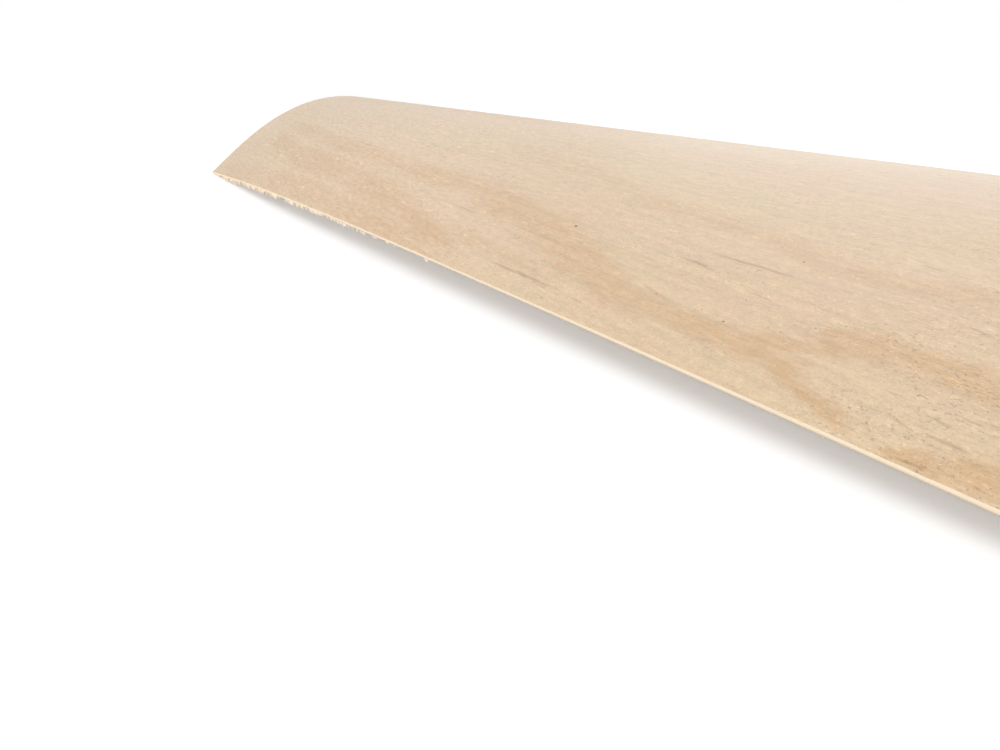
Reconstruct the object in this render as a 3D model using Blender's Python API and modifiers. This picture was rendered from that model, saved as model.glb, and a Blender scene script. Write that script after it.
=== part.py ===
"""Flexible plywood: one thin birch sheet, sprung into an arch that is tighter at one end.

The sheet is drawn flat, at the size it is cut to, and then bent without stretching. A
thin sheet can only bend along straight lines, and here those lines fan out from a point
beyond its tighter end: near that end the bend is sharp, and towards the other it opens
out. The sheet is cut into narrow flat strips along the lines, each line is swung to its
place in space, and Solidify gives the sheet its thickness.

Metres, +Z up. X runs along the sheet, from its tighter end to its more open end, and
the sheet stands crown up on its four corners, on Z = 0.
"""

import math

import bmesh
import bpy
from mathutils import Quaternion, Vector

# The sheet as it is cut
SHEET_LENGTH = 0.900
SHEET_WIDTH = 0.300
SHEET_THICKNESS = 0.0015

# The bend: how far beyond the tighter end its straight lines meet, and how far the
# sheet turns down between its crown and a corner of that end
FAN_REACH = 0.385
CORNER_TURN = math.radians(41.0)

# Flat strips on each side of the one along the crown
STRIPS_EACH_SIDE = 30

# Short steps that follow the bend from the crown to one straight line of it
BEND_STEPS = 200

BIRCH_COLOUR = (0.78, 0.60, 0.42, 1.0)
BIRCH_ROUGHNESS = 0.62

# Angle of the fan between the crown and the corners of the tighter end
CORNER_ANGLE = math.atan2(SHEET_WIDTH / 2, FAN_REACH)


def clear_scene():
    for item in list(bpy.data.objects):
        bpy.data.objects.remove(item, do_unlink=True)


def make_collection(name):
    collection = bpy.data.collections.new(name)
    bpy.context.scene.collection.children.link(collection)
    return collection


def make_material(name, colour, roughness):
    material = bpy.data.materials.new(name)
    material.use_nodes = True
    shader = material.node_tree.nodes["Principled BSDF"]
    shader.inputs["Base Color"].default_value = colour
    shader.inputs["Roughness"].default_value = roughness
    shader.inputs["Metallic"].default_value = 0.0
    material.diffuse_color = colour
    return material


def bend_rate(angle):
    """Turn of the sheet for each unit of fan angle: most at the crown, none at a corner."""
    share = math.pi / 2 * angle / CORNER_ANGLE
    return CORNER_TURN / CORNER_ANGLE * math.pi / 2 * math.cos(share)


def turn_of_line(angle):
    """How one straight line of the bend is turned, with the sheet's own axes, from the crown.

    Each short step swings the line on within the sheet's plane and rolls the sheet
    down about it, so lengths along the sheet stay as they were cut.
    """
    turn = Quaternion()
    step = angle / BEND_STEPS
    for index in range(BEND_STEPS):
        rate = bend_rate((index + 0.5) * step)
        axis = Vector((-rate, 0.0, 1.0))
        turn = turn @ Quaternion(axis.normalized(), axis.length * step)
    return turn


def bent_place(flat, height=0.0):
    """Where a point of the flat sheet comes to lie; flat is measured from the fan's centre."""
    turn = turn_of_line(math.atan2(flat.y, flat.x))
    return turn @ Vector((math.hypot(flat.x, flat.y), 0.0, height))


def fan_of_strips(sheet):
    """Flat strips that fan out from the origin, long and wide enough to cut the sheet from."""
    strips = 2 * STRIPS_EACH_SIDE + 1
    step = CORNER_ANGLE / STRIPS_EACH_SIDE
    inner = FAN_REACH / 2
    outer = 2 * math.hypot(FAN_REACH + SHEET_LENGTH, SHEET_WIDTH / 2)
    bmesh.ops.create_grid(sheet, x_segments=1, y_segments=strips, size=0.5)
    for vertex in sheet.verts:
        reach = inner + (vertex.co.x + 0.5) * (outer - inner)
        angle = vertex.co.y * strips * step
        vertex.co = Vector((reach * math.cos(angle), reach * math.sin(angle), 0.0))


def cut_away(sheet, place, outward):
    """One straight cut: what lies on the outward side of it is removed."""
    everything = sheet.verts[:] + sheet.edges[:] + sheet.faces[:]
    bmesh.ops.bisect_plane(sheet, geom=everything, dist=0.000001, plane_co=place,
                           plane_no=outward, clear_outer=True)


def flat_sheet(sheet):
    """The sheet as it is cut, its tighter end at the fan's reach from the origin."""
    fan_of_strips(sheet)
    cut_away(sheet, (FAN_REACH, 0.0, 0.0), (-1.0, 0.0, 0.0))
    cut_away(sheet, (FAN_REACH + SHEET_LENGTH, 0.0, 0.0), (1.0, 0.0, 0.0))
    cut_away(sheet, (0.0, SHEET_WIDTH / 2, 0.0), (0.0, 1.0, 0.0))
    cut_away(sheet, (0.0, -SHEET_WIDTH / 2, 0.0), (0.0, -1.0, 0.0))


def bent_sheet_mesh(name):
    mesh = bpy.data.meshes.new(name)
    sheet = bmesh.new()
    flat_sheet(sheet)
    for vertex in sheet.verts:
        vertex.co = bent_place(vertex.co)
    sheet.to_mesh(mesh)
    sheet.free()
    return mesh


def crown_slope():
    """How far the crown tips down towards the open end, for all four corners to touch."""
    under = -SHEET_THICKNESS / 2
    tight = bent_place(Vector((FAN_REACH, SHEET_WIDTH / 2, 0.0)), under)
    wide = bent_place(Vector((FAN_REACH + SHEET_LENGTH, SHEET_WIDTH / 2, 0.0)), under)
    return math.atan2(wide.z - tight.z, wide.x - tight.x)


def stand_on_floor(sheet):
    """Tip the sheet onto its corners, with the origin below the middle of its box."""
    sheet.rotation_euler.y = crown_slope()
    bpy.context.view_layer.update()
    solid = sheet.evaluated_get(bpy.context.evaluated_depsgraph_get())
    places = [solid.matrix_world @ vertex.co for vertex in solid.data.vertices]
    along = [place.x for place in places]
    heights = [place.z for place in places]
    sheet.location = (-(min(along) + max(along)) / 2, 0.0, -min(heights))


def make_plywood_sheet(collection):
    mesh = bent_sheet_mesh("plywood_sheet")
    mesh.materials.append(make_material("birch_veneer", BIRCH_COLOUR, BIRCH_ROUGHNESS))
    sheet = bpy.data.objects.new("plywood_sheet", mesh)
    collection.objects.link(sheet)

    thickness = sheet.modifiers.new("Sheet thickness", "SOLIDIFY")
    thickness.thickness = SHEET_THICKNESS
    thickness.offset = 0.0
    thickness.use_even_offset = True
    thickness.use_rim = True
    stand_on_floor(sheet)
    return sheet


def main():
    clear_scene()
    make_plywood_sheet(make_collection("flexible_plywood"))


main()
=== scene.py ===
"""Looks of a sheet of flexible plywood: raw birch veneer, and cut edges with torn fibres.

The sheet is modelled flat, at the size it is cut to, and then swung into its arch, so the
grain, the streaks and the torn edges are all laid out on the flat sheet.
"""

import math
import random

import bpy
from mathutils import Euler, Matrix, Quaternion, Vector, noise


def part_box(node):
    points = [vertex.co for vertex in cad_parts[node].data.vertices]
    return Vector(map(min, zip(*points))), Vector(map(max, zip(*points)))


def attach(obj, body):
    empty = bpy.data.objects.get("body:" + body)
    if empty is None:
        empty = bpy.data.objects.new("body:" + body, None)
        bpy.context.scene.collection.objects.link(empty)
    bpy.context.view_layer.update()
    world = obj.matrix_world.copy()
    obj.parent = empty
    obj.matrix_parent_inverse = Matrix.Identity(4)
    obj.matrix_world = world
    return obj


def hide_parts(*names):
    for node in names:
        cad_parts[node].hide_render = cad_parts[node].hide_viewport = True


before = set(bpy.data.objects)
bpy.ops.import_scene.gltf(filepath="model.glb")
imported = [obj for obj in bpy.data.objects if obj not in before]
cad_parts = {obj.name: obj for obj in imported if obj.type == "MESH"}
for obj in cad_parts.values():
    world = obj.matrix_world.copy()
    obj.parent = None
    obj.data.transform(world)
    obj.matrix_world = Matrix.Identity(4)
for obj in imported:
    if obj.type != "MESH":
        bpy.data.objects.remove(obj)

MM = 0.001

# The sheet as it is cut
SHEET_LENGTH = 900 * MM
SHEET_WIDTH = 300 * MM
SHEET_THICKNESS = 1.5 * MM

# The bend: straight lines that meet this far beyond the tighter end, and the turn from
# the crown down to a corner of that end
FAN_REACH = 385 * MM
CORNER_TURN = math.radians(41.0)
CORNER_ANGLE = math.atan2(SHEET_WIDTH / 2, FAN_REACH)
BEND_STEPS = 400
STEPS_PAST_CORNER = 20

# The mesh of the sheet, and the slight rounding of its arrises
CELLS_ALONG = 640
CELLS_ACROSS = 60
ARRIS_ROUNDING = 0.12 * MM
EDGE_WANDER = 0.12 * MM

# How far along from the tighter end the two long cuts are ragged, and how far the near
# one's upper arris is torn back there
RAGGED_REACH = 500 * MM
TORN_BACK = 0.9 * MM

# The grain runs nearly along the sheet, a little towards the near edge
GRAIN_TURN = math.radians(-4.3)

# The grain is bold up to the first place along the sheet and fine from the second on, in
# millimetres
BOLD_UNTIL = 150.0
FINE_FROM = 660.0

# Colours of raw birch, as linear light
PALE_BIRCH = (0.744, 0.552, 0.356)
WARM_BIRCH = (0.668, 0.442, 0.244)
PINK_BIRCH = (0.750, 0.532, 0.360)
STRAW_BIRCH = (0.717, 0.560, 0.352)
MINERAL_BROWN = (0.390, 0.240, 0.130)
PORE_BROWN = (0.330, 0.200, 0.105)
KNOT_BROWN = (0.140, 0.060, 0.025)
# Fresh-cut wood, made paler still as a painted highlight where the cuts catch the light
FRESH_CUT_AND_HIGHLIGHT = (1.000, 0.840, 0.640)
FRESH_SHADE = (0.920, 0.700, 0.460)

# Darker mineral streaks on the face, in millimetres from the middle of the tighter end:
# along, across, length, width, turn in degrees, depth of colour
MINERAL_STREAKS = (
    (534, -141, 52, 1.9, -1, 0.86),
    (583, -112, 23, 1.6, -7, 0.69),
    (597, -106, 42, 1.6, -2, 0.80),
    (583, -129, 17, 1.9, -13, 0.52),
    (459, -119, 26, 2.2, -4, 0.40),
    (611, -118, 9, 1.2, -8, 0.57),
    (634, -87, 9, 1.0, -10, 0.52),
    (658, -108, 9, 1.0, -13, 0.75),
    (656, -140, 8, 0.9, 2, 0.52),
    (663, -141, 10, 1.2, -11, 0.69),
    (671, -141, 12, 1.2, -1, 0.69),
    (656, -134, 7, 0.9, -1, 0.52),
    (667, -137, 6, 0.9, -12, 0.52),
    (671, -134, 6, 0.9, -6, 0.52),
    (674, -133, 5, 0.8, -6, 0.46),
    (662, -127, 8, 0.9, -10, 0.40),
    (647, -126, 13, 1.2, 0, 0.34),
    (670, -148.4, 10, 0.9, 2, 1.00),
)

# Pin knots and specks: along, across, width across, depth of colour
PIN_KNOTS = (
    (523, -110.6, 1.3, 1.0),
    (607, -98.6, 0.8, 0.45),
    (610, -131, 0.7, 0.6),
    (601.5, -129.5, 0.6, 0.35),
    (584.5, -129.5, 0.6, 0.5),
    (630, -123, 0.6, 0.35),
    (621, -128, 0.5, 0.4),
    (624.5, -128, 0.5, 0.4),
    (583.5, -119, 0.6, 0.5),
    (383.5, -120, 1.2, 0.5),
)

# Warm bands of the figure: depth of colour, then the points each passes through, as along,
# across and width in millimetres
WARM_BANDS = (
    (1.00, ((40, -142, 14), (180, -140, 20), (330, -141, 18), (450, -146, 9))),
    (1.10, ((664, -149, 3), (674, -147, 5), (684, -145, 9), (720, -147, 10), (800, -149, 12))),
    (0.40, ((20, -116, 30), (120, -118, 32), (250, -118, 32), (380, -122, 22))),
    (1.20, ((100, -100, 14), (165, -110, 18), (317, -119, 18), (409, -129, 12), (471, -140, 6))),
    (1.00, ((100, -80, 10), (175, -87, 12), (350, -100, 11), (445, -104, 11), (495, -112, 14))),
    (0.50, ((465, -131, 5), (509, -135, 6), (540, -139, 4))),
    (1.00, ((495, -112, 14), (533, -121, 15), (553, -129, 13), (575, -134, 8), (596, -136, 6))),
    (1.20, ((596, -135, 6), (616, -136, 6), (629, -137, 6), (640, -141, 5), (650, -145, 4))),
    (1.10, ((620, -134, 6), (634, -128, 6), (641, -123, 7), (648, -122, 7), (657, -123, 7))),
    (1.10, ((657, -123, 7), (667, -124, 7), (690, -128, 9), (740, -132, 12), (810, -140, 14))),
    (0.50, ((527, -85, 8), (558, -86, 7), (585, -90, 6), (617, -98, 6), (635, -98, 6))),
    (0.70, ((635, -98, 6), (654, -95, 6), (700, -92, 8), (780, -88, 12), (860, -86, 12))),
    (0.35, ((400, -57, 10), (432, -63, 11), (488, -72, 9), (523, -82, 7))),
    (0.60, ((660, -60, 14), (740, -40, 20), (830, -25, 22), (890, -20, 24))),
    (0.50, ((250, 30, 26), (400, 52, 22), (560, 60, 26), (700, 84, 22), (850, 92, 28))),
    (0.40, ((60, -10, 18), (180, 4, 22), (330, -2, 16), (470, 12, 14))),
    (0.45, ((40, 118, 16), (200, 108, 20), (380, 122, 16), (600, 130, 18))),
)

# What a cut tears out of its lower arris, in millimetres and degrees. The turn is measured
# from straight out towards along the edge, and the droop from level downwards
TORN = {
    "sliver": {
        "share": 0.22, "length": (3.5, 6.5), "width": (0.7, 1.5), "thickness": 0.40,
        "turn": 62, "spread": 9, "droop": (10, 35),
    },
    "tuft": {
        "share": 0.65, "length": (2.6, 4.6), "width": (1.0, 2.8), "thickness": 0.45,
        "turn": 12, "spread": 18, "droop": (35, 72),
    },
    "hair": {
        "share": 0.13, "length": (2.4, 4.2), "width": (0.2, 0.4), "thickness": 0.20,
        "turn": 30, "spread": 25, "droop": (30, 70),
    },
}

# Mean distance between the places where a cut may be torn, how far inside the cut the
# roots sit, and what sets the order of chance
TORN_SPACING = 0.7 * MM
ROOT_INSIDE = 0.35 * MM
TORN_SEED = 7

# The camera stands beside the open end and looks back along the sheet
CAMERA_PLACE = (0.27861, -0.26261, 0.06557)
CAMERA_TURN = math.radians(59.035)
CAMERA_DIP = math.radians(20.727)
CAMERA_LENS = 26.46

# The studio: light from all round, and the white floor
DAYLIGHT = 0.41
FLOOR_SIZE = 12.0
FLOOR_WHITE = (0.92, 0.92, 0.92, 1.0)
FLOOR_LIFT = 0.32


def deselect():
    if bpy.context.object is not None and bpy.context.object.mode != "OBJECT":
        bpy.ops.object.mode_set(mode="OBJECT")
    bpy.ops.object.select_all(action="DESELECT")


# The bend


def bend_rate(angle):
    """Turn of the sheet for each unit of fan angle: most at the crown, none at a corner."""
    share = math.pi / 2 * angle / CORNER_ANGLE
    return CORNER_TURN / CORNER_ANGLE * math.pi / 2 * math.cos(share)


def turns_of_lines():
    """How each straight line of the bend is turned, from the crown out to just past a corner."""
    step = CORNER_ANGLE / BEND_STEPS
    turn = Quaternion()
    turns = [turn.copy()]
    for index in range(BEND_STEPS + STEPS_PAST_CORNER):
        axis = Vector((-bend_rate(min((index + 0.5) * step, CORNER_ANGLE)), 0.0, 1.0))
        turn = turn @ Quaternion(axis.normalized(), axis.length * step)
        turns.append(turn.copy())
    return turns


LINE_TURNS = turns_of_lines()


def swung(flat):
    """Where a point of the flat sheet comes to lie; flat is measured from the fan's centre."""
    side = -1.0 if flat.y < 0.0 else 1.0
    place = math.atan2(abs(flat.y), flat.x) / CORNER_ANGLE * BEND_STEPS
    index = int(place)
    turn = LINE_TURNS[index].slerp(LINE_TURNS[index + 1], place - index)
    point = turn @ Vector((math.hypot(flat.x, flat.y), 0.0, flat.z))
    point.y *= side
    return point


def crown_slope():
    """How far the crown tips down towards the open end, for all four corners to touch."""
    under = -SHEET_THICKNESS / 2
    tight = swung(Vector((FAN_REACH, SHEET_WIDTH / 2, under)))
    wide = swung(Vector((FAN_REACH + SHEET_LENGTH, SHEET_WIDTH / 2, under)))
    return math.atan2(wide.z - tight.z, wide.x - tight.x)


def box_of(points):
    low = Vector([min(point[axis] for point in points) for axis in range(3)])
    high = Vector([max(point[axis] for point in points) for axis in range(3)])
    return low, high


def remember_flat_places(piece):
    """Keeps each point's place on the flat sheet, from the middle of its tighter end."""
    places = piece.data.attributes.new("flat_place", "FLOAT_VECTOR", "POINT")
    for vertex, place in zip(piece.data.vertices, places.data):
        place.vector = vertex.co - Vector((FAN_REACH, 0.0, 0.0))


def bend_into_arch(pieces):
    """Swings flat pieces into the arch, and sets them in the CAD sheet's own box."""
    tip = Euler((0.0, crown_slope(), 0.0)).to_matrix()
    for piece in pieces:
        remember_flat_places(piece)
        for vertex in piece.data.vertices:
            vertex.co = tip @ swung(vertex.co)
    low, high = box_of([vertex.co for vertex in pieces[0].data.vertices])
    cad_low, cad_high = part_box("plywood_sheet")
    fit = [(cad_high[axis] - cad_low[axis]) / (high[axis] - low[axis]) for axis in range(3)]
    for piece in pieces:
        for vertex in piece.data.vertices:
            place = [cad_low[axis] + (vertex.co[axis] - low[axis]) * fit[axis] for axis in range(3)]
            vertex.co = [min(max(place[axis], cad_low[axis]), cad_high[axis]) for axis in range(3)]
        piece.data.update()


# The sheet


def edge_wander(place):
    """How far a saw and torn fibres leave the cut short of its line, at one place."""
    fine = noise.noise(place * 400)
    slow = noise.noise(place * 90 + Vector((5, 5, 5)))
    return EDGE_WANDER * (0.5 + 0.5 * fine * slow)


def let_edges_wander(mesh):
    """Moves the outline in by a hair here and there."""
    half = SHEET_WIDTH / 2
    for vertex in mesh.vertices:
        inward = edge_wander(vertex.co)
        if abs(abs(vertex.co.y) - half) < EDGE_WANDER:
            vertex.co.y -= math.copysign(inward, vertex.co.y)
        if abs(vertex.co.x - FAN_REACH) < EDGE_WANDER:
            vertex.co.x += inward
        if abs(vertex.co.x - FAN_REACH - SHEET_LENGTH) < EDGE_WANDER:
            vertex.co.x -= inward


def tear_upper_arris_back(mesh):
    """Towards the tighter end the near cut slopes, its upper arris torn back unevenly."""
    for vertex in mesh.vertices:
        share = 1.0 - (vertex.co.x - FAN_REACH) / RAGGED_REACH
        if share > 0.0 and vertex.co.z > 0.0 and vertex.co.y < 2 * EDGE_WANDER - SHEET_WIDTH / 2:
            vertex.co.y += TORN_BACK * share ** 0.5 * (0.75 + 0.5 * noise.noise(vertex.co * 260))


def make_flat_sheet():
    """The flat sheet: one fine grid, given its thickness and slightly rounded arrises."""
    deselect()
    bpy.ops.mesh.primitive_grid_add(
        x_subdivisions=CELLS_ALONG, y_subdivisions=CELLS_ACROSS, size=1.0,
        location=(FAN_REACH + SHEET_LENGTH / 2, 0.0, 0.0))
    sheet = bpy.context.object
    sheet.name = "birch_plywood"
    sheet.scale = (SHEET_LENGTH, SHEET_WIDTH, 1.0)
    bpy.ops.object.transform_apply(location=True, rotation=True, scale=True)
    let_edges_wander(sheet.data)

    for material in (face_veneer(), back_veneer(), cut_edge()):
        sheet.data.materials.append(material)
    thickness = sheet.modifiers.new("Thickness", "SOLIDIFY")
    thickness.thickness = SHEET_THICKNESS
    thickness.offset = 0.0
    thickness.material_offset = 1
    thickness.material_offset_rim = 2
    rounding = sheet.modifiers.new("Arris", "BEVEL")
    rounding.width = ARRIS_ROUNDING
    rounding.segments = 2
    rounding.limit_method = "ANGLE"
    rounding.angle_limit = math.radians(35)
    rounding.material = 2
    bpy.ops.object.modifier_apply(modifier=thickness.name)
    tear_upper_arris_back(sheet.data)
    bpy.ops.object.modifier_apply(modifier=rounding.name)
    bpy.ops.object.shade_smooth_by_angle(angle=math.radians(40))
    return sheet


# Torn fibres


def make_one_fibre(name, sides, rings, curl):
    """One fibre, one unit long from its root along Y: a cone cut into rings and bent at its tip."""
    deselect()
    bpy.ops.mesh.primitive_cone_add(vertices=sides, radius1=0.5, radius2=0.06, depth=1.0,
                                    rotation=(-math.pi / 2, 0.0, 0.0), location=(0.0, 0.5, 0.0))
    fibre = bpy.context.object
    fibre.name = name
    bpy.ops.object.transform_apply(location=True, rotation=True, scale=True)
    bpy.ops.object.mode_set(mode="EDIT")
    for ring in range(1, rings):
        bpy.ops.mesh.select_all(action="SELECT")
        bpy.ops.mesh.bisect(plane_co=(0.0, ring / rings, 0.0), plane_no=(0.0, 1.0, 0.0))
    bpy.ops.object.mode_set(mode="OBJECT")
    for vertex in fibre.data.vertices:
        vertex.co.z -= curl * vertex.co.y ** 2
        vertex.co.x += curl * 0.6 * math.sin(vertex.co.y * 3.0)
    return fibre


def edge_runs():
    """The four cuts: where each starts, which way it runs, which way is out, and its length.

    The last two say how torn it is where it starts, and how far on it is no longer torn.
    """
    half = SHEET_WIDTH / 2
    near = Vector((FAN_REACH, -half, 0.0))
    far = Vector((FAN_REACH, half, 0.0))
    open_near = Vector((FAN_REACH + SHEET_LENGTH, -half, 0.0))
    along = Vector((1.0, 0.0, 0.0))
    across = Vector((0.0, 1.0, 0.0))
    return (
        (near, along, -across, SHEET_LENGTH, 1.0, RAGGED_REACH),
        (far, along, across, SHEET_LENGTH, 0.5, RAGGED_REACH),
        (near, across, -along, SHEET_WIDTH, 0.3, 3 * SHEET_WIDTH),
        (open_near, across, along, SHEET_WIDTH, 0.2, 3 * SHEET_WIDTH),
    )


def place_fibre(source, root, along, out, size, turn, droop):
    """A copy of one fibre, its root in the lower arris, swept along the edge and drooping."""
    up = Vector((0.0, 0.0, 1.0))
    width, length, depth = size
    aim = (out * math.cos(turn) + along * math.sin(turn)).normalized()
    aim = (aim * math.cos(droop) - up * math.sin(droop)).normalized()
    side = aim.cross(up).normalized()
    top = side.cross(aim)
    points = []
    for vertex in source.data.vertices:
        sideways = side * vertex.co.x * width
        forwards = aim * vertex.co.y * length
        upwards = top * vertex.co.z * depth
        points.append(root + sideways + forwards + upwards)
    return points, [list(face.vertices) for face in source.data.polygons]


def torn_at(chance, root_line, out, torn):
    """What is torn out at one place of an edge: its kind, root, size, turn and droop."""
    kind = chance.choices(list(TORN), [shape["share"] for shape in TORN.values()])[0]
    shape = TORN[kind]
    length = chance.uniform(*shape["length"]) * (0.3 + 0.7 * torn) * MM
    width = chance.uniform(*shape["width"]) * MM
    height = -SHEET_THICKNESS / 2 + chance.uniform(0.15, 0.45) * MM
    root = root_line - out * ROOT_INSIDE + Vector((0.0, 0.0, height))
    side = 1 if chance.random() < 0.7 else -1
    turn = side * math.radians(chance.gauss(shape["turn"], shape["spread"]))
    droop = math.radians(chance.uniform(*shape["droop"]))
    return kind, root, (width, length, shape["thickness"] * MM), turn, droop


def fibres_of_edges(patterns):
    """Points and faces of all four cuts' fibres, in clusters, copied from one of each kind."""
    chance = random.Random(TORN_SEED)
    places = []
    faces = []
    for start, along, out, length, most, fade in edge_runs():
        reach = 1 * MM
        while reach < length - 2 * MM:
            here = start + along * reach
            torn = most * max(0.0, 1.0 - reach / fade)
            ragged = 1.10 + 2.4 * noise.noise(here * 70)
            if chance.random() < ragged * torn:
                kind, root, size, turn, droop = torn_at(chance, here, out, torn)
                pattern = patterns[kind]
                points, polygons = place_fibre(pattern, root, along, out, size, turn, droop)
                faces += [[corner + len(places) for corner in face] for face in polygons]
                places += points
            reach += chance.expovariate(1.0) * TORN_SPACING
    return places, faces


def make_torn_fibres():
    """All the torn fibres of the four edges, as one mesh on the flat sheet."""
    patterns = {
        "sliver": make_one_fibre("sliver", 5, 5, 0.10),
        "tuft": make_one_fibre("tuft", 6, 4, 0.18),
        "hair": make_one_fibre("hair", 4, 5, 0.30),
    }
    places, faces = fibres_of_edges(patterns)
    mesh = bpy.data.meshes.new("torn_fibres")
    mesh.from_pydata(places, [], faces)
    fibres = bpy.data.objects.new("torn_fibres", mesh)
    bpy.context.scene.collection.objects.link(fibres)
    for pattern in patterns.values():
        bpy.data.objects.remove(pattern, do_unlink=True)
    mesh.materials.append(torn_fibre())
    deselect()
    bpy.context.view_layer.objects.active = fibres
    fibres.select_set(True)
    bpy.ops.object.mode_set(mode="EDIT")
    bpy.ops.mesh.select_all(action="SELECT")
    bpy.ops.mesh.normals_make_consistent(inside=False)
    bpy.ops.object.mode_set(mode="OBJECT")
    bpy.ops.object.shade_smooth_by_angle(angle=math.radians(50))
    return fibres


# Building blocks of the materials


def feed(tree, socket, value):
    if isinstance(value, bpy.types.NodeSocket):
        tree.links.new(value, socket)
    else:
        socket.default_value = value


def maths(tree, operation, *values):
    node = tree.nodes.new("ShaderNodeMath")
    node.operation = operation
    for socket, value in zip(node.inputs, values):
        feed(tree, socket, value)
    return node.outputs["Value"]


def tint(tree, share, first, second):
    """A colour between two others."""
    node = tree.nodes.new("ShaderNodeMix")
    node.data_type = "RGBA"
    feed(tree, node.inputs["Factor"], share)
    for socket, value in ((node.inputs["A"], first), (node.inputs["B"], second)):
        feed(tree, socket, value)
    return node.outputs["Result"]


def placed(tree, source, move=(0, 0, 0), turn=0.0, scale=(1, 1, 1), kind="POINT"):
    node = tree.nodes.new("ShaderNodeMapping")
    node.vector_type = kind
    feed(tree, node.inputs["Vector"], source)
    node.inputs["Location"].default_value = move
    node.inputs["Rotation"].default_value = (0.0, 0.0, turn)
    node.inputs["Scale"].default_value = scale
    return node.outputs["Vector"]


def clouds(tree, place, length, width, seed=0.0, detail=2.0, roughness=0.5, distortion=0.0):
    """Soft noise whose patches are so long and so wide, in millimetres."""
    node = tree.nodes.new("ShaderNodeTexNoise")
    spot = placed(tree, place, move=(seed, seed * 1.7, seed * 0.6),
                  scale=(1 / length, 1 / width, 1 / width))
    feed(tree, node.inputs["Vector"], spot)
    node.inputs["Scale"].default_value = 1.0
    node.inputs["Detail"].default_value = detail
    node.inputs["Roughness"].default_value = roughness
    node.inputs["Distortion"].default_value = distortion
    return node.outputs["Fac"]


def ramp(tree, value, low, high, to_low=0.0, to_high=1.0):
    """Maps low to high smoothly onto to_low to to_high."""
    node = tree.nodes.new("ShaderNodeMapRange")
    node.interpolation_type = "SMOOTHSTEP"
    feed(tree, node.inputs["Value"], value)
    node.inputs["From Min"].default_value = low
    node.inputs["From Max"].default_value = high
    node.inputs["To Min"].default_value = to_low
    node.inputs["To Max"].default_value = to_high
    return node.outputs["Result"]


def flat_place(tree):
    """The place on the flat sheet, in millimetres, with the sheet's own axes."""
    node = tree.nodes.new("ShaderNodeAttribute")
    node.attribute_name = "flat_place"
    return placed(tree, node.outputs["Vector"], scale=(1 / MM, 1 / MM, 1 / MM))


def along_grain(tree, place):
    return placed(tree, place, turn=-GRAIN_TURN)


def wavering(tree, place, along, across, size):
    """The place moved to and fro a little, so that marks have uneven outlines."""
    node = tree.nodes.new("ShaderNodeTexNoise")
    feed(tree, node.inputs["Vector"], placed(tree, place, scale=(1 / size, 3 / size, 1)))
    node.inputs["Scale"].default_value = 1.0
    node.inputs["Detail"].default_value = 4.0
    node.inputs["Roughness"].default_value = 0.6
    moved = placed(tree, node.outputs["Color"], move=(-along, -across, 0),
                   scale=(2 * along, 2 * across, 0))
    total = tree.nodes.new("ShaderNodeVectorMath")
    total.operation = "ADD"
    feed(tree, total.inputs[0], place)
    feed(tree, total.inputs[1], moved)
    return total.outputs["Vector"]


def mark(tree, place, along, across, length, width, turn):
    """One soft oval mark on the sheet, 1 in its middle and 0 at its rim."""
    spot = placed(tree, place, move=(along, across, 0), turn=math.radians(turn),
                  scale=(length / 2, width / 2, 1), kind="TEXTURE")
    flatten = placed(tree, spot, scale=(1, 1, 0))
    node = tree.nodes.new("ShaderNodeTexGradient")
    node.gradient_type = "SPHERICAL"
    feed(tree, node.inputs["Vector"], flatten)
    return node.outputs["Fac"]


def all_marks(tree, place, marks):
    """The strongest of several marks at each place; each mark ends with its depth of colour."""
    total = 0.0
    for along, across, length, width, turn, depth in marks:
        oval = mark(tree, place, along, across, length, width, turn)
        one = ramp(tree, oval, 0.0, 0.75, 0.0, depth)
        total = maths(tree, "MAXIMUM", total, one)
    return total


def marks_of_bands(bands):
    """Oval marks that follow each band from point to point, overlapping."""
    marks = []
    for depth, points in bands:
        for (x, y, wide), (next_x, next_y, next_wide) in zip(points, points[1:]):
            length = math.hypot(next_x - x, next_y - y)
            turn = math.degrees(math.atan2(next_y - y, next_x - x))
            width = (wide + next_wide) / 2
            middle = ((x + next_x) / 2, (y + next_y) / 2)
            marks.append((*middle, 2.0 * length + width, 2.0 * width, turn, depth))
    return marks


def new_material(name):
    material = bpy.data.materials.new(name)
    material.use_nodes = True
    return material, material.node_tree, material.node_tree.nodes["Principled BSDF"]


def bump(tree, shader, height, depth):
    node = tree.nodes.new("ShaderNodeBump")
    node.inputs["Strength"].default_value = 1.0
    node.inputs["Distance"].default_value = depth
    feed(tree, node.inputs["Height"], height)
    feed(tree, shader.inputs["Normal"], node.outputs["Normal"])


def shade(tree, colour, amount):
    """A colour made lighter or darker by amount, which lies round 1."""
    node = tree.nodes.new("ShaderNodeVectorMath")
    node.operation = "SCALE"
    feed(tree, node.inputs[0], colour)
    feed(tree, node.inputs["Scale"], amount)
    return node.outputs["Vector"]


def frayed_margin_and_highlight(tree, place, wide):
    """1 along the four cuts, broken up along the way: frayed fibres and a painted highlight on the
    arris; wide is its width at the tighter end.
    """
    half_length = SHEET_LENGTH / MM / 2
    half_width = SHEET_WIDTH / MM / 2
    axes = tree.nodes.new("ShaderNodeSeparateXYZ")
    feed(tree, axes.inputs["Vector"], place)
    from_middle = maths(tree, "SUBTRACT", axes.outputs["X"], half_length)
    to_end = maths(tree, "SUBTRACT", half_length, maths(tree, "ABSOLUTE", from_middle))
    to_side = maths(tree, "SUBTRACT", half_width, maths(tree, "ABSOLUTE", axes.outputs["Y"]))
    inward = maths(tree, "MINIMUM", to_end, to_side)
    ragged = ramp(tree, clouds(tree, place, 5, 1.6, 77, 4, 0.7), 0.3, 0.7, 0.35, 1.0)
    fading = ramp(tree, axes.outputs["X"], 0.0, 600.0, wide, 0.3 * wide)
    margin = maths(tree, "MULTIPLY", ragged, fading)
    return ramp(tree, maths(tree, "DIVIDE", inward, margin), 1.0, 0.3)


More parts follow.
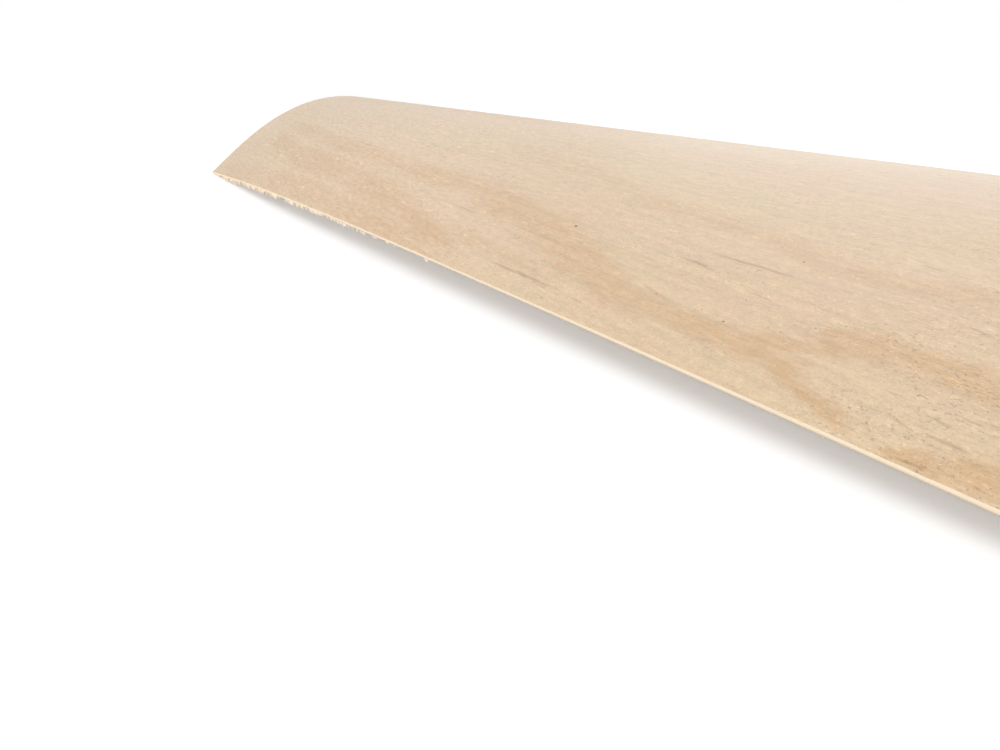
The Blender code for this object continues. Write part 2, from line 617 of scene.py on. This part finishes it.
def dashes(tree, grain, length, width, seed):
    """Short crisp dashes along the grain, 1 where they lie."""
    return ramp(tree, clouds(tree, grain, length, width, seed, 4, 0.75, 0.15), 0.60, 0.65)


def all_dashes(tree, grain, seed, far):
    """Long, middling and short dashes together; far says how plain the long ones are."""
    long = maths(tree, "MULTIPLY", dashes(tree, grain, 13.0, 1.8, seed), far)
    middling = dashes(tree, grain, 2.4, 1.0, seed + 3)
    short = dashes(tree, grain, 0.9, 0.5, seed + 6)
    total = maths(tree, "MULTIPLY_ADD", middling, 0.45, maths(tree, "MULTIPLY", short, 0.80))
    return maths(tree, "MULTIPLY_ADD", long, 0.60, total)


def veneer_texture(tree, seed):
    """Where the veneer's patterns lie: flecks, grit, dark dashes, and light dashes that are partly
    painted glints, in drifts.
    """
    place = flat_place(tree)
    grain = along_grain(tree, place)
    axes = tree.nodes.new("ShaderNodeSeparateXYZ")
    feed(tree, axes.inputs["Vector"], place)
    drift = ramp(tree, clouds(tree, grain, 40, 14, seed + 71, 3, 0.6), 0.36, 0.62, 0.40, 1.0)
    far = ramp(tree, axes.outputs["X"], BOLD_UNTIL, FINE_FROM, 1.8, 0.35)
    coarse = ramp(tree, axes.outputs["X"], BOLD_UNTIL, FINE_FROM, 2.3, 0.85)
    fleck = maths(tree, "SUBTRACT", clouds(tree, grain, 6, 2.2, seed + 21, 4, 0.80, 0.25), 0.5)
    return {
        "grain": grain,
        "lines": clouds(tree, grain, 70, 2.2, seed + 25, 5, 0.70, 0.3),
        "fleck": maths(tree, "MULTIPLY_ADD", fleck, coarse, 0.5),
        "grit": clouds(tree, grain, 0.9, 0.9, seed + 31, 5, 0.90),
        "dark": maths(tree, "MULTIPLY", all_dashes(tree, grain, seed + 41, far), drift),
        # Light dashes: pale flecks of the wood, and painted glints of shiny fibres
        "light": maths(tree, "MULTIPLY", all_dashes(tree, grain, seed + 55, far), drift),
    }


def veneer_tone(tree, grain, seed, warm):
    """The veneer's own colour before its flecks: warm figure over pale, uneven wood."""
    blush = ramp(tree, clouds(tree, grain, 80, 26, seed + 11, 3, 0.55, 0.6), 0.42, 0.66)
    straw = ramp(tree, clouds(tree, grain, 60, 20, seed + 15, 3, 0.55, 0.6), 0.46, 0.68)
    colour = tint(tree, maths(tree, "MULTIPLY", blush, 0.60), (*PALE_BIRCH, 1), (*PINK_BIRCH, 1))
    colour = tint(tree, maths(tree, "MULTIPLY", straw, 0.35), colour, (*STRAW_BIRCH, 1))
    return tint(tree, warm, colour, (*WARM_BIRCH, 1))


def finish_veneer(tree, shader, colour, texture, marks):
    """Flecks and dashes over the colour, with the low relief and sheen of raw veneer."""
    colour = shade(tree, colour, ramp(tree, texture["lines"], 0.30, 0.62, 0.95, 1.03))
    colour = shade(tree, colour, ramp(tree, texture["fleck"], 0.20, 0.80, 0.90, 1.10))
    colour = shade(tree, colour, ramp(tree, texture["grit"], 0.25, 0.75, 0.89, 1.11))
    colour = tint(tree, maths(tree, "MULTIPLY", texture["dark"], 0.80), colour, (*PORE_BROWN, 1))
    # The light dashes brighten the colour: pale flecks of the wood and painted glints
    colour = shade(tree, colour, maths(tree, "MULTIPLY_ADD", texture["light"], 0.45, 1.0))
    # Lighter along the cuts: frayed fibres and a painted highlight on the arris
    frayed_and_highlight = frayed_margin_and_highlight(tree, flat_place(tree), 1.2)
    colour = tint(tree, frayed_and_highlight, colour, (*FRESH_CUT_AND_HIGHLIGHT, 1))
    feed(tree, shader.inputs["Base Color"], colour)
    feed(tree, shader.inputs["Roughness"], ramp(tree, texture["grit"], 0.2, 0.8, 0.42, 0.60))
    shader.inputs["Specular IOR Level"].default_value = 0.7
    shader.inputs["Sheen Weight"].default_value = 0.28
    shader.inputs["Sheen Roughness"].default_value = 0.4
    relief = maths(tree, "MULTIPLY_ADD", texture["grit"], 0.5, texture["fleck"])
    relief = maths(tree, "SUBTRACT", relief, texture["dark"])
    relief = maths(tree, "SUBTRACT", relief, marks)
    bump(tree, shader, relief, 0.06 * MM)


def painted_shade_at_tight_end(tree, place):
    """Painted shade: the colour made darker towards the tighter end, where less light falls."""
    axes = tree.nodes.new("ShaderNodeSeparateXYZ")
    feed(tree, axes.inputs["Vector"], place)
    return ramp(tree, axes.outputs["X"], 0.0, 380.0, 0.89, 1.0)


def face_veneer():
    """The best side: pale and warm, with mineral streaks and pin knots."""
    material, tree, shader = new_material("face_veneer")
    texture = veneer_texture(tree, 0)
    place = flat_place(tree)
    grain = texture["grain"]
    wobble = clouds(tree, grain, 14, 3, 61, 4, 0.65)
    bands = all_marks(tree, wavering(tree, place, 12, 4.5, 18), marks_of_bands(WARM_BANDS))
    strands = clouds(tree, grain, 24, 1.6, 65, 5, 0.75)
    warm = maths(tree, "MULTIPLY", bands, ramp(tree, wobble, 0.30, 0.68, 0.55, 1.10))
    warm = maths(tree, "MULTIPLY", warm, ramp(tree, strands, 0.35, 0.65, 0.60, 1.25))
    # The veneer colour is darkened towards the tighter end as painted shade
    colour = shade(tree, veneer_tone(tree, grain, 0, warm), painted_shade_at_tight_end(tree, place))
    streaks = all_marks(tree, wavering(tree, place, 3, 0.7, 9), MINERAL_STREAKS)
    streaks = maths(tree, "MULTIPLY", streaks, ramp(tree, wobble, 0.25, 0.60, 0.45, 1.0))
    colour = tint(tree, maths(tree, "MULTIPLY", streaks, 0.75), colour, (*MINERAL_BROWN, 1))
    ovals = [(x, y, 1.4 * wide, wide, 0, deep) for x, y, wide, deep in PIN_KNOTS]
    knots = ramp(tree, all_marks(tree, place, ovals), 0.05, 0.45)
    colour = tint(tree, knots, colour, (*KNOT_BROWN, 1))
    finish_veneer(tree, shader, colour, texture, maths(tree, "ADD", streaks, knots))
    return material


def back_veneer():
    """The plainer side underneath, a little deeper in colour."""
    material, tree, shader = new_material("back_veneer")
    texture = veneer_texture(tree, 100)
    figure = ramp(tree, clouds(tree, texture["grain"], 150, 22, 103, 3, 0.5, 1.1), 0.38, 0.70)
    finish_veneer(tree, shader, veneer_tone(tree, texture["grain"], 100, figure), texture, 0.0)
    return material


def cut_edge():
    """The fresh cut through the sheet: light, dry and fibrous, its lower part darkened by painted
    shade.
    """
    material, tree, shader = new_material("cut_edge")
    place = flat_place(tree)
    strands = clouds(tree, placed(tree, place, scale=(1, 1, 6)), 2.2, 2.2, 7, 4, 0.7)
    colour = tint(tree, ramp(tree, strands, 0.52, 0.78), (*FRESH_CUT_AND_HIGHLIGHT, 1), (*FRESH_SHADE, 1))
    height = tree.nodes.new("ShaderNodeSeparateXYZ")
    feed(tree, height.inputs["Vector"], place)
    # Painted shade: the cut grows darker towards its lower arris, as the shadow of the underside
    colour = shade(tree, colour, ramp(tree, height.outputs["Z"], -0.8, 0.25, 0.55, 1.0))
    feed(tree, shader.inputs["Base Color"], colour)
    shader.inputs["Roughness"].default_value = 0.75
    shader.inputs["Specular IOR Level"].default_value = 0.3
    shader.inputs["Sheen Weight"].default_value = 0.15
    bump(tree, shader, strands, 0.12 * MM)
    return material


def torn_fibre():
    """Fibres torn out by the cut: pale, with darker roots here and there."""
    material, tree, shader = new_material("torn_fibre")
    place = flat_place(tree)
    mottle = clouds(tree, place, 1.4, 1.4, 17, 3, 0.6)
    colour = tint(tree, ramp(tree, mottle, 0.50, 0.75), (*FRESH_CUT_AND_HIGHLIGHT, 1), (*FRESH_SHADE, 1))
    feed(tree, shader.inputs["Base Color"], colour)
    shader.inputs["Roughness"].default_value = 0.7
    shader.inputs["Sheen Weight"].default_value = 0.2
    bump(tree, shader, mottle, 0.05 * MM)
    return material


# Floor, light and camera


def seen_directly(tree):
    """1 for rays straight from the camera, or seen in gloss or through glass."""
    path = tree.nodes.new("ShaderNodeLightPath")
    shown = maths(tree, "MAXIMUM", path.outputs["Is Camera Ray"], path.outputs["Is Glossy Ray"])
    return maths(tree, "MAXIMUM", shown, path.outputs["Is Transmission Ray"])


def white_world(daylight):
    world = bpy.data.worlds.new("studio")
    bpy.context.scene.world = world
    world.use_nodes = True
    tree = world.node_tree
    sky = tree.nodes["Background"]
    sky.inputs["Color"].default_value = (1.0, 1.0, 1.0, 1.0)
    shown = seen_directly(tree)
    feed(tree, sky.inputs["Strength"], maths(tree, "MULTIPLY_ADD", shown, 1.0 - daylight, daylight))


def white_floor():
    """A plain white floor that keeps the sheet's shadow."""
    deselect()
    bpy.ops.mesh.primitive_plane_add(size=FLOOR_SIZE, location=(0.0, 0.0, 0.0))
    floor = bpy.context.object
    floor.name = "floor"
    material = bpy.data.materials.new("white_floor")
    material.use_nodes = True
    tree = material.node_tree
    tree.nodes.remove(tree.nodes["Principled BSDF"])
    matt = tree.nodes.new("ShaderNodeBsdfDiffuse")
    matt.inputs["Color"].default_value = FLOOR_WHITE
    lift = tree.nodes.new("ShaderNodeEmission")
    feed(tree, lift.inputs["Strength"], maths(tree, "MULTIPLY", seen_directly(tree), FLOOR_LIFT))
    both = tree.nodes.new("ShaderNodeAddShader")
    tree.links.new(matt.outputs["BSDF"], both.inputs[0])
    tree.links.new(lift.outputs["Emission"], both.inputs[1])
    tree.links.new(both.outputs["Shader"], tree.nodes["Material Output"].inputs["Surface"])
    floor.data.materials.append(material)


def soft_lamp(name, towards, strength, softness, glints=True):
    """A broad lamp far off, where towards points to; it may show in gloss or not."""
    light = bpy.data.lights.new(name, "SUN")
    light.energy = strength
    light.angle = softness
    lamp = bpy.data.objects.new(name, light)
    lamp.visible_glossy = glints
    lamp.rotation_euler = Vector(towards).to_track_quat("Z", "Y").to_euler()
    bpy.context.scene.collection.objects.link(lamp)


def camera():
    data = bpy.data.cameras.new("camera")
    data.sensor_width = 36.0
    data.lens = CAMERA_LENS
    data.clip_start = 1 * MM
    eye = bpy.data.objects.new("camera", data)
    eye.location = CAMERA_PLACE
    eye.rotation_euler = (math.pi / 2 - CAMERA_DIP, 0.0, CAMERA_TURN)
    bpy.context.scene.collection.objects.link(eye)
    bpy.context.scene.camera = eye


def main():
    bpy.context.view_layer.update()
    sheet = make_flat_sheet()
    fibres = make_torn_fibres()
    bend_into_arch([sheet, fibres])
    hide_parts("plywood_sheet")
    for piece in (sheet, fibres):
        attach(piece, "root")
    white_world(DAYLIGHT)
    white_floor()
    soft_lamp("top_lamp", (0.15, 0.00, 0.98), 0.94, math.radians(100))
    soft_lamp("front_lamp", (0.35, -0.93, 0.10), 2.16, math.radians(50), glints=False)
    soft_lamp("back_lamp", (-0.50, 0.84, 0.42), 0.32, math.radians(40))
    camera()
    bpy.context.scene.view_settings.view_transform = "Standard"


main()
